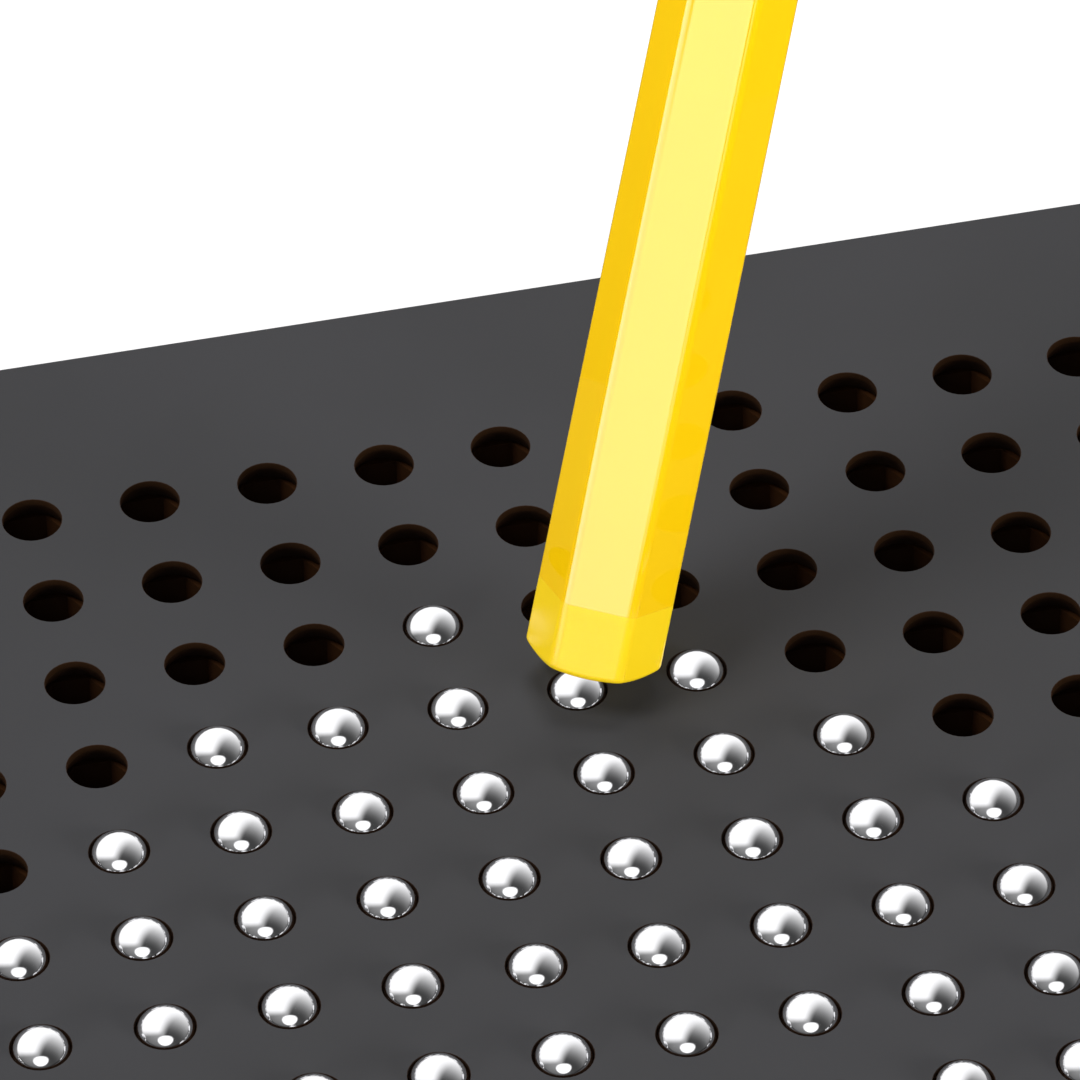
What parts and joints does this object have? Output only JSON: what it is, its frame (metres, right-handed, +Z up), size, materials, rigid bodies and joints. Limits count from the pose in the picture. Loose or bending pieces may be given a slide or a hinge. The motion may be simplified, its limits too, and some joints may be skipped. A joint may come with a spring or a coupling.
{
  "type": "magnetic drawing board",
  "caption": "Magnetic drawing board: a dark plate with a grid of holes, steel balls that a six-sided magnetic stylus pulls up, and a closed back.",
  "frame": {"origin": "middle of the board, on the surface that its feet stand on", "axes": "+X along the rows of holes, +Y towards the far edge, +Z up, out of the drawing face"},
  "size_m": [0.1686, 0.1286, 0.1197],
  "materials": {
    "face_black": "dark grey printed top, black holes",
    "inner_black": "matt black moulding",
    "ferrite_sheet": "matt flexible magnetic sheet",
    "cover_black": "fine-grained dark moulding",
    "foot_rubber": "matt rubber",
    "zinc": "zinc plated",
    "ball_steel": "polished",
    "stylus_yellow": "smooth yellow moulding",
    "tip_yellow": "smooth yellow moulding",
    "nickel": "nickel plated magnet"
  },
  "bodies": {
    "board": {"face_plate": "face_black", "cell_block": "inner_black", "magnet_sheet": "ferrite_sheet", "back_cover": "cover_black", "rubber_foot_1": "foot_rubber", "rubber_foot_2": "foot_rubber", "rubber_foot_3": "foot_rubber", "rubber_foot_4": "foot_rubber", "cover_screw_1": "zinc", "cover_screw_2": "zinc", "cover_screw_3": "zinc", "cover_screw_4": "zinc", "cover_screw_5": "zinc", "cover_screw_6": "zinc"},
    "stylus": {"stylus_barrel": "stylus_yellow", "stylus_tip": "tip_yellow", "stylus_magnet": "nickel", "stylus_end_cap": "stylus_yellow"},
    "ball_row2_col5": {"steel_ball_row2_col5": "ball_steel"},
    "ball_row3_col3": {"steel_ball_row3_col3": "ball_steel"},
    "ball_row3_col4": {"steel_ball_row3_col4": "ball_steel"},
    "ball_row3_col5": {"steel_ball_row3_col5": "ball_steel"},
    "ball_row3_col6": {"steel_ball_row3_col6": "ball_steel"},
    "ball_row3_col7": {"steel_ball_row3_col7": "ball_steel"},
    "ball_row4_col2": {"steel_ball_row4_col2": "ball_steel"},
    "ball_row4_col3": {"steel_ball_row4_col3": "ball_steel"},
    "ball_row4_col4": {"steel_ball_row4_col4": "ball_steel"},
    "ball_row4_col5": {"steel_ball_row4_col5": "ball_steel"},
    "ball_row4_col6": {"steel_ball_row4_col6": "ball_steel"},
    "ball_row4_col7": {"steel_ball_row4_col7": "ball_steel"},
    "ball_row4_col8": {"steel_ball_row4_col8": "ball_steel"},
    "ball_row5_col1": {"steel_ball_row5_col1": "ball_steel"},
    "ball_row5_col2": {"steel_ball_row5_col2": "ball_steel"},
    "ball_row5_col3": {"steel_ball_row5_col3": "ball_steel"},
    "ball_row5_col4": {"steel_ball_row5_col4": "ball_steel"},
    "ball_row5_col5": {"steel_ball_row5_col5": "ball_steel"},
    "ball_row5_col6": {"steel_ball_row5_col6": "ball_steel"},
    "ball_row5_col7": {"steel_ball_row5_col7": "ball_steel"},
    "ball_row5_col8": {"steel_ball_row5_col8": "ball_steel"},
    "ball_row5_col9": {"steel_ball_row5_col9": "ball_steel"},
    "ball_row6_col1": {"steel_ball_row6_col1": "ball_steel"},
    "ball_row6_col2": {"steel_ball_row6_col2": "ball_steel"},
    "ball_row6_col3": {"steel_ball_row6_col3": "ball_steel"},
    "ball_row6_col4": {"steel_ball_row6_col4": "ball_steel"},
    "ball_row6_col5": {"steel_ball_row6_col5": "ball_steel"},
    "ball_row6_col6": {"steel_ball_row6_col6": "ball_steel"},
    "ball_row6_col7": {"steel_ball_row6_col7": "ball_steel"},
    "ball_row6_col8": {"steel_ball_row6_col8": "ball_steel"},
    "ball_row6_col9": {"steel_ball_row6_col9": "ball_steel"},
    "ball_row7_col3": {"steel_ball_row7_col3": "ball_steel"},
    "ball_row7_col4": {"steel_ball_row7_col4": "ball_steel"},
    "ball_row7_col5": {"steel_ball_row7_col5": "ball_steel"},
    "ball_row7_col6": {"steel_ball_row7_col6": "ball_steel"},
    "ball_row7_col7": {"steel_ball_row7_col7": "ball_steel"},
    "ball_row7_col8": {"steel_ball_row7_col8": "ball_steel"},
    "ball_row7_col9": {"steel_ball_row7_col9": "ball_steel"},
    "ball_row8_col8": {"steel_ball_row8_col8": "ball_steel"},
    "ball_row8_col9": {"steel_ball_row8_col9": "ball_steel"}
  },
  "joints": [
    {"name": "stylus_lift", "type": "slide", "parent": "board", "child": "stylus", "axis": [0, 0, 1], "range_m": [0, 0.07]},
    {"name": "ball_row2_col5_drop", "type": "slide", "parent": "board", "child": "ball_row2_col5", "axis": [0, 0, 1], "range_m": [-0.005, 0]},
    {"name": "ball_row3_col3_drop", "type": "slide", "parent": "board", "child": "ball_row3_col3", "axis": [0, 0, 1], "range_m": [-0.005, 0]},
    {"name": "ball_row3_col4_drop", "type": "slide", "parent": "board", "child": "ball_row3_col4", "axis": [0, 0, 1], "range_m": [-0.005, 0]},
    {"name": "ball_row3_col5_drop", "type": "slide", "parent": "board", "child": "ball_row3_col5", "axis": [0, 0, 1], "range_m": [-0.005, 0]},
    {"name": "ball_row3_col6_drop", "type": "slide", "parent": "board", "child": "ball_row3_col6", "axis": [0, 0, 1], "range_m": [-0.005, 0]},
    {"name": "ball_row3_col7_drop", "type": "slide", "parent": "board", "child": "ball_row3_col7", "axis": [0, 0, 1], "range_m": [-0.005, 0]},
    {"name": "ball_row4_col2_drop", "type": "slide", "parent": "board", "child": "ball_row4_col2", "axis": [0, 0, 1], "range_m": [-0.005, 0]},
    {"name": "ball_row4_col3_drop", "type": "slide", "parent": "board", "child": "ball_row4_col3", "axis": [0, 0, 1], "range_m": [-0.005, 0]},
    {"name": "ball_row4_col4_drop", "type": "slide", "parent": "board", "child": "ball_row4_col4", "axis": [0, 0, 1], "range_m": [-0.005, 0]},
    {"name": "ball_row4_col5_drop", "type": "slide", "parent": "board", "child": "ball_row4_col5", "axis": [0, 0, 1], "range_m": [-0.005, 0]},
    {"name": "ball_row4_col6_drop", "type": "slide", "parent": "board", "child": "ball_row4_col6", "axis": [0, 0, 1], "range_m": [-0.005, 0]},
    {"name": "ball_row4_col7_drop", "type": "slide", "parent": "board", "child": "ball_row4_col7", "axis": [0, 0, 1], "range_m": [-0.005, 0]},
    {"name": "ball_row4_col8_drop", "type": "slide", "parent": "board", "child": "ball_row4_col8", "axis": [0, 0, 1], "range_m": [-0.005, 0]},
    {"name": "ball_row5_col1_drop", "type": "slide", "parent": "board", "child": "ball_row5_col1", "axis": [0, 0, 1], "range_m": [-0.005, 0]},
    {"name": "ball_row5_col2_drop", "type": "slide", "parent": "board", "child": "ball_row5_col2", "axis": [0, 0, 1], "range_m": [-0.005, 0]},
    {"name": "ball_row5_col3_drop", "type": "slide", "parent": "board", "child": "ball_row5_col3", "axis": [0, 0, 1], "range_m": [-0.005, 0]},
    {"name": "ball_row5_col4_drop", "type": "slide", "parent": "board", "child": "ball_row5_col4", "axis": [0, 0, 1], "range_m": [-0.005, 0]},
    {"name": "ball_row5_col5_drop", "type": "slide", "parent": "board", "child": "ball_row5_col5", "axis": [0, 0, 1], "range_m": [-0.005, 0]},
    {"name": "ball_row5_col6_drop", "type": "slide", "parent": "board", "child": "ball_row5_col6", "axis": [0, 0, 1], "range_m": [-0.005, 0]},
    {"name": "ball_row5_col7_drop", "type": "slide", "parent": "board", "child": "ball_row5_col7", "axis": [0, 0, 1], "range_m": [-0.005, 0]},
    {"name": "ball_row5_col8_drop", "type": "slide", "parent": "board", "child": "ball_row5_col8", "axis": [0, 0, 1], "range_m": [-0.005, 0]},
    {"name": "ball_row5_col9_drop", "type": "slide", "parent": "board", "child": "ball_row5_col9", "axis": [0, 0, 1], "range_m": [-0.005, 0]},
    {"name": "ball_row6_col1_drop", "type": "slide", "parent": "board", "child": "ball_row6_col1", "axis": [0, 0, 1], "range_m": [-0.005, 0]},
    {"name": "ball_row6_col2_drop", "type": "slide", "parent": "board", "child": "ball_row6_col2", "axis": [0, 0, 1], "range_m": [-0.005, 0]},
    {"name": "ball_row6_col3_drop", "type": "slide", "parent": "board", "child": "ball_row6_col3", "axis": [0, 0, 1], "range_m": [-0.005, 0]},
    {"name": "ball_row6_col4_drop", "type": "slide", "parent": "board", "child": "ball_row6_col4", "axis": [0, 0, 1], "range_m": [-0.005, 0]},
    {"name": "ball_row6_col5_drop", "type": "slide", "parent": "board", "child": "ball_row6_col5", "axis": [0, 0, 1], "range_m": [-0.005, 0]},
    {"name": "ball_row6_col6_drop", "type": "slide", "parent": "board", "child": "ball_row6_col6", "axis": [0, 0, 1], "range_m": [-0.005, 0]},
    {"name": "ball_row6_col7_drop", "type": "slide", "parent": "board", "child": "ball_row6_col7", "axis": [0, 0, 1], "range_m": [-0.005, 0]},
    {"name": "ball_row6_col8_drop", "type": "slide", "parent": "board", "child": "ball_row6_col8", "axis": [0, 0, 1], "range_m": [-0.005, 0]},
    {"name": "ball_row6_col9_drop", "type": "slide", "parent": "board", "child": "ball_row6_col9", "axis": [0, 0, 1], "range_m": [-0.005, 0]},
    {"name": "ball_row7_col3_drop", "type": "slide", "parent": "board", "child": "ball_row7_col3", "axis": [0, 0, 1], "range_m": [-0.005, 0]},
    {"name": "ball_row7_col4_drop", "type": "slide", "parent": "board", "child": "ball_row7_col4", "axis": [0, 0, 1], "range_m": [-0.005, 0]},
    {"name": "ball_row7_col5_drop", "type": "slide", "parent": "board", "child": "ball_row7_col5", "axis": [0, 0, 1], "range_m": [-0.005, 0]},
    {"name": "ball_row7_col6_drop", "type": "slide", "parent": "board", "child": "ball_row7_col6", "axis": [0, 0, 1], "range_m": [-0.005, 0]},
    {"name": "ball_row7_col7_drop", "type": "slide", "parent": "board", "child": "ball_row7_col7", "axis": [0, 0, 1], "range_m": [-0.005, 0]},
    {"name": "ball_row7_col8_drop", "type": "slide", "parent": "board", "child": "ball_row7_col8", "axis": [0, 0, 1], "range_m": [-0.005, 0]},
    {"name": "ball_row7_col9_drop", "type": "slide", "parent": "board", "child": "ball_row7_col9", "axis": [0, 0, 1], "range_m": [-0.005, 0]},
    {"name": "ball_row8_col8_drop", "type": "slide", "parent": "board", "child": "ball_row8_col8", "axis": [0, 0, 1], "range_m": [-0.005, 0]},
    {"name": "ball_row8_col9_drop", "type": "slide", "parent": "board", "child": "ball_row8_col9", "axis": [0, 0, 1], "range_m": [-0.005, 0]}
  ]
}
